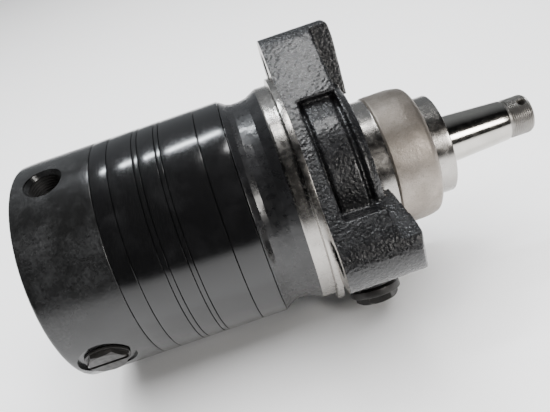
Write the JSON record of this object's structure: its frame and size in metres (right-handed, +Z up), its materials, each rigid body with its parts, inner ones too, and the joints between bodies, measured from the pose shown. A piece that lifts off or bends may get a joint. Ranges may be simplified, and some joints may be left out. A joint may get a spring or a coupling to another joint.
{
  "type": "hydraulic motor",
  "caption": "Orbital hydraulic wheel motor: round black body of stacked plates, eared mounting flange, cast bearing boss and tapered, threaded output shaft.",
  "frame": {"origin": "centre of the end cover's flat rear face, on the motor axis", "axes": "+X along the output shaft towards its threaded end, one ear of the flange along -Y, and +Z up, on the open port's side"},
  "size_m": [0.314, 0.1713, 0.174],
  "materials": {
    "black_paint": "glossy black enamel over turned and cast iron",
    "housing_casting": "black enamel on the flange and neck, bare sand-cast iron on the bearing boss, bright turned bands",
    "shaft_steel": "ground taper and grey rolled thread",
    "hardened_steel": "ground",
    "bearing_bronze": "sintered",
    "seal_rubber": "matte",
    "black_oxide": "satin black oxide"
  },
  "bodies": {
    "motor_body": {"end_cover": "black_paint", "commutator_ring": "black_paint", "manifold_rear_plate": "black_paint", "manifold_middle_plate": "black_paint", "manifold_front_plate": "black_paint", "isolator_plate": "black_paint", "stator": "black_paint", "wear_plate": "black_paint", "housing": "housing_casting", "port_plug": "black_oxide", "case_drain_plug": "black_oxide", "cover_bolt_1": "black_oxide", "cover_bolt_2": "black_oxide", "cover_bolt_3": "black_oxide", "cover_bolt_4": "black_oxide", "cover_bolt_5": "black_oxide", "cover_bolt_6": "black_oxide", "cover_bolt_7": "black_oxide", "port_plug_seal": "seal_rubber", "case_drain_seal": "seal_rubber", "shaft_seal": "seal_rubber", "dust_seal": "seal_rubber", "body_seal_1": "seal_rubber", "body_seal_2": "seal_rubber", "body_seal_3": "seal_rubber", "body_seal_4": "seal_rubber", "body_seal_5": "seal_rubber", "thrust_bearing": "hardened_steel", "thrust_washer": "hardened_steel", "backup_washer": "hardened_steel", "inner_bearing": "bearing_bronze", "outer_bearing": "bearing_bronze"},
    "output_shaft": {"output_shaft": "shaft_steel", "link_spacer": "hardened_steel"},
    "commutator": {"commutator": "hardened_steel", "commutator_seal": "seal_rubber"},
    "rotor": {"rotor": "hardened_steel"},
    "drive_link": {"drive_link": "hardened_steel"},
    "roller_1": {"roller_1": "hardened_steel"},
    "roller_2": {"roller_2": "hardened_steel"},
    "roller_3": {"roller_3": "hardened_steel"},
    "roller_4": {"roller_4": "hardened_steel"},
    "roller_5": {"roller_5": "hardened_steel"},
    "roller_6": {"roller_6": "hardened_steel"},
    "roller_7": {"roller_7": "hardened_steel"}
  },
  "joints": [
    {"name": "shaft_spin", "type": "hinge", "parent": "motor_body", "child": "output_shaft", "pos_m": [0, 0, 0], "axis": [1, 0, 0], "continuous": true},
    {"name": "commutator_orbit", "type": "hinge", "parent": "motor_body", "child": "commutator", "pos_m": [0, 0, 0], "axis": [1, 0, 0], "continuous": true},
    {"name": "rotor_spin", "type": "hinge", "parent": "commutator", "child": "rotor", "pos_m": [0.1012, 0, 0.003], "axis": [1, 0, 0], "continuous": true},
    {"name": "drive_link_spin", "type": "hinge", "parent": "commutator", "child": "drive_link", "pos_m": [0.172, 0, 0], "axis": [0.9991, 0, -0.0423], "continuous": true},
    {"name": "roller_1_spin", "type": "hinge", "parent": "motor_body", "child": "roller_1", "pos_m": [0.1012, -0.00626, 0.04153], "axis": [1, 0, 0], "continuous": true},
    {"name": "roller_2_spin", "type": "hinge", "parent": "motor_body", "child": "roller_2", "pos_m": [0.1012, -0.03637, 0.021], "axis": [1, 0, 0], "continuous": true},
    {"name": "roller_3_spin", "type": "hinge", "parent": "motor_body", "child": "roller_3", "pos_m": [0.1012, -0.0391, -0.01534], "axis": [1, 0, 0], "continuous": true},
    {"name": "roller_4_spin", "type": "hinge", "parent": "motor_body", "child": "roller_4", "pos_m": [0.1012, -0.01238, -0.04013], "axis": [1, 0, 0], "continuous": true},
    {"name": "roller_5_spin", "type": "hinge", "parent": "motor_body", "child": "roller_5", "pos_m": [0.1012, 0.02366, -0.0347], "axis": [1, 0, 0], "continuous": true},
    {"name": "roller_6_spin", "type": "hinge", "parent": "motor_body", "child": "roller_6", "pos_m": [0.1012, 0.04188, -0.00314], "axis": [1, 0, 0], "continuous": true},
    {"name": "roller_7_spin", "type": "hinge", "parent": "motor_body", "child": "roller_7", "pos_m": [0.1012, 0.02857, 0.03079], "axis": [1, 0, 0], "continuous": true}
  ],
  "couplings": [
    {"joint": "commutator_orbit", "follows": "shaft_spin", "ratio": -6},
    {"joint": "rotor_spin", "follows": "shaft_spin", "ratio": 7},
    {"joint": "drive_link_spin", "follows": "shaft_spin", "ratio": 7},
    {"joint": "roller_1_spin", "follows": "shaft_spin", "ratio": -4.929},
    {"joint": "roller_2_spin", "follows": "shaft_spin", "ratio": -4.929},
    {"joint": "roller_3_spin", "follows": "shaft_spin", "ratio": -4.929},
    {"joint": "roller_4_spin", "follows": "shaft_spin", "ratio": -4.929},
    {"joint": "roller_5_spin", "follows": "shaft_spin", "ratio": -4.929},
    {"joint": "roller_6_spin", "follows": "shaft_spin", "ratio": -4.929},
    {"joint": "roller_7_spin", "follows": "shaft_spin", "ratio": -4.929}
  ]
}
